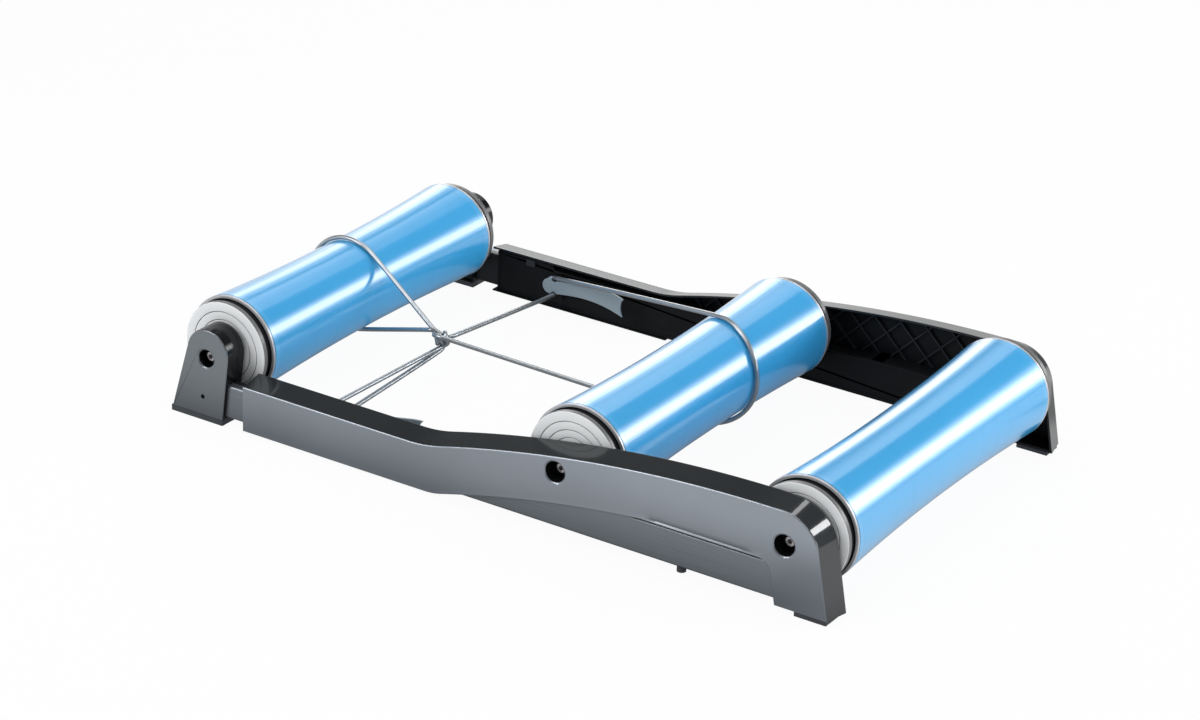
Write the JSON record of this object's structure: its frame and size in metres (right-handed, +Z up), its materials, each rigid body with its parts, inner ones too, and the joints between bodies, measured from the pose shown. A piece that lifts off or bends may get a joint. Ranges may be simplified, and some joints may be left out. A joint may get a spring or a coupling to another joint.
{
  "type": "bike rollers",
  "caption": "Telescoping bicycle rollers with waisted drums between arched side rails, a sliding front section and a round drive belt stored on side hooks.",
  "frame": {"origin": "floor level under the middle of the object's box, with the frame pushed together", "axes": "+X from the front roller to the rear roller, +Y to the rider's right, +Z up"},
  "size_m": [0.8097, 0.49, 0.1289],
  "materials": {
    "rail_grey": "satin moulded plastic, fine texture on the top",
    "guide_black": "fine textured black plastic",
    "hook_grey": "smooth satin plastic",
    "bar_grey": "satin",
    "bracket_grey": "satin face with glossy black edge",
    "foot_rubber": "matt",
    "bright_steel": "turned",
    "bolt_steel": "bright zinc",
    "screw_black": "black zinc",
    "tube_grey": "smooth pale grey plastic",
    "sleeve_blue": "high gloss blue",
    "plug_black": "matt black",
    "cap_grey": "satin pale grey with fine turned lines",
    "belt_rubber": "smooth round cord with a soft sheen"
  },
  "bodies": {
    "rear_frame": {"rail_left": "rail_grey", "rail_right": "rail_grey", "slide_guide_left": "guide_black", "slide_guide_right": "guide_black", "belt_hook_left": "hook_grey", "belt_hook_right": "hook_grey", "guide_screws": "screw_black", "rear_foot_left": "foot_rubber", "rear_foot_right": "foot_rubber", "mid_foot_left": "foot_rubber", "mid_foot_right": "foot_rubber", "middle_axle": "bright_steel", "middle_axle_bolts": "bolt_steel", "middle_inner_races": "bright_steel", "middle_spacers": "bright_steel", "rear_axle": "bright_steel", "rear_axle_bolts": "bolt_steel", "rear_inner_races": "bright_steel", "rear_spacers": "bright_steel", "drive_belt": "belt_rubber"},
    "front_section": {"slide_bar_left": "bar_grey", "slide_bar_right": "bar_grey", "front_bracket_left": "bracket_grey", "front_bracket_right": "bracket_grey", "bracket_screws": "screw_black", "front_foot_left": "foot_rubber", "front_foot_right": "foot_rubber", "front_axle": "bright_steel", "front_axle_bolts": "bolt_steel", "front_inner_races": "bright_steel", "front_spacers": "bright_steel"},
    "front_roller": {"front_tube": "tube_grey", "front_sleeve": "sleeve_blue", "front_plug_left": "plug_black", "front_plug_right": "plug_black", "front_cap_left": "cap_grey", "front_cap_right": "cap_grey", "front_outer_races": "bright_steel"},
    "middle_roller": {"middle_tube": "tube_grey", "middle_sleeve": "sleeve_blue", "middle_plug_left": "plug_black", "middle_plug_right": "plug_black", "middle_cap_left": "cap_grey", "middle_cap_right": "cap_grey", "middle_outer_races": "bright_steel"},
    "rear_roller": {"rear_tube": "tube_grey", "rear_sleeve": "sleeve_blue", "rear_plug_left": "plug_black", "rear_plug_right": "plug_black", "rear_cap_left": "cap_grey", "rear_cap_right": "cap_grey", "rear_outer_races": "bright_steel"}
  },
  "joints": [
    {"name": "front_slide", "type": "slide", "parent": "rear_frame", "child": "front_section", "axis": [-1, 0, 0], "range_m": [0, 0.55], "deforming": ["drive_belt"]},
    {"name": "front_spin", "type": "hinge", "parent": "front_section", "child": "front_roller", "pos_m": [-0.3485, 0, 0.0725], "axis": [0, 1, 0], "continuous": true},
    {"name": "middle_spin", "type": "hinge", "parent": "rear_frame", "child": "middle_roller", "pos_m": [0.0885, 0, 0.071], "axis": [0, 1, 0], "continuous": true},
    {"name": "rear_spin", "type": "hinge", "parent": "rear_frame", "child": "rear_roller", "pos_m": [0.3485, 0, 0.071], "axis": [0, 1, 0], "continuous": true}
  ],
  "couplings": [
    {"joint": "front_spin", "follows": "middle_spin", "ratio": 1}
  ]
}
